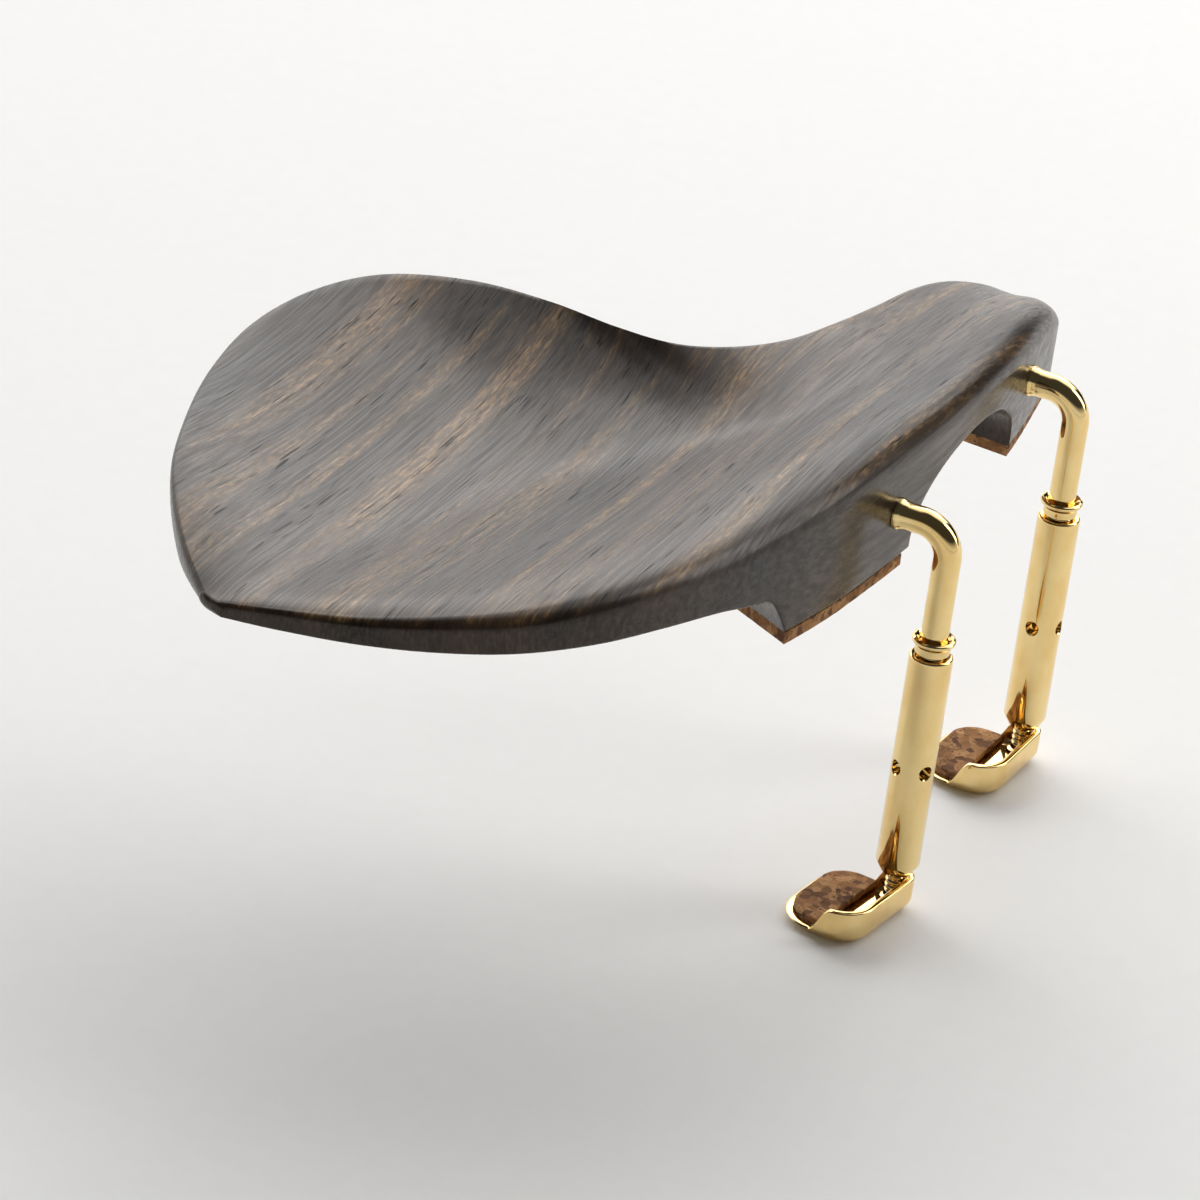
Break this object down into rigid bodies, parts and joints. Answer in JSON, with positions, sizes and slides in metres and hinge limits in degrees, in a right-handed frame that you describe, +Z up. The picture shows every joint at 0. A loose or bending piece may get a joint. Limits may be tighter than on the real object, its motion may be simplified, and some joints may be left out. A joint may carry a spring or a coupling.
{
  "type": "violin chin rest",
  "caption": "Kidney-shaped carved ebony chin rest standing on cork-lined feet, clamped to a violin's lower end by separate gold turnbuckle screws with hook feet.",
  "frame": {"origin": "middle of the bass-side cork pad's lower face, where the chin rest stands on the violin's top edge", "axes": "+X across the violin towards its treble side, +Y from its lower end towards the scroll, +Z up out of its top"},
  "size_m": [0.1267, 0.0793, 0.0572],
  "materials": {
    "ebony": "oiled and buffed satin, with tan streaks",
    "cork": "sanded sheet cork",
    "gold_plate": "polished gold plating on brass"
  },
  "bodies": {
    "rest": {"rest_plate": "ebony", "cork_pad_bass": "cork", "cork_pad_treble": "cork"},
    "hook_bass": {"hook_bass": "gold_plate"},
    "collar_bass": {"lock_collar_bass": "gold_plate"},
    "barrel_bass": {"barrel_bass": "gold_plate"},
    "foot_bass": {"stud_bass": "gold_plate", "foot_bass": "gold_plate", "foot_cork_bass": "cork"},
    "hook_treble": {"hook_treble": "gold_plate"},
    "collar_treble": {"lock_collar_treble": "gold_plate"},
    "barrel_treble": {"barrel_treble": "gold_plate"},
    "foot_treble": {"stud_treble": "gold_plate", "foot_treble": "gold_plate", "foot_cork_treble": "cork"}
  },
  "joints": [
    {"name": "hook_swivel_bass", "type": "hinge", "parent": "rest", "child": "hook_bass", "pos_m": [0.008, -0.0128, 0.008], "axis": [0, 1, 0], "range_deg": [-8, 30]},
    {"name": "collar_slide_bass", "type": "slide", "parent": "hook_bass", "child": "collar_bass", "axis": [0, 0, 1], "range_m": [-0.0064, 0.0001]},
    {"name": "barrel_turn_bass", "type": "hinge", "parent": "collar_bass", "child": "barrel_bass", "pos_m": [0.008, -0.0128, -0.021], "axis": [0, 0, 1], "range_deg": [-3245, 5]},
    {"name": "foot_slide_bass", "type": "slide", "parent": "hook_bass", "child": "foot_bass", "axis": [0, 0, 1], "range_m": [-0.0126, 0]},
    {"name": "hook_swivel_treble", "type": "hinge", "parent": "rest", "child": "hook_treble", "pos_m": [0.048, -0.0128, 0.008], "axis": [0, 1, 0], "range_deg": [-30, 8]},
    {"name": "collar_slide_treble", "type": "slide", "parent": "hook_treble", "child": "collar_treble", "axis": [0, 0, 1], "range_m": [-0.0064, 0.0001]},
    {"name": "barrel_turn_treble", "type": "hinge", "parent": "collar_treble", "child": "barrel_treble", "pos_m": [0.048, -0.0128, -0.021], "axis": [0, 0, 1], "range_deg": [-3245, 5]},
    {"name": "foot_slide_treble", "type": "slide", "parent": "hook_treble", "child": "foot_treble", "axis": [0, 0, 1], "range_m": [-0.0126, 0]}
  ],
  "couplings": [
    {"joint": "collar_slide_bass", "follows": "foot_slide_bass", "ratio": 0.5},
    {"joint": "barrel_turn_bass", "follows": "foot_slide_bass", "rad_per_m": 4488},
    {"joint": "collar_slide_treble", "follows": "foot_slide_treble", "ratio": 0.5},
    {"joint": "barrel_turn_treble", "follows": "foot_slide_treble", "rad_per_m": 4488}
  ]
}
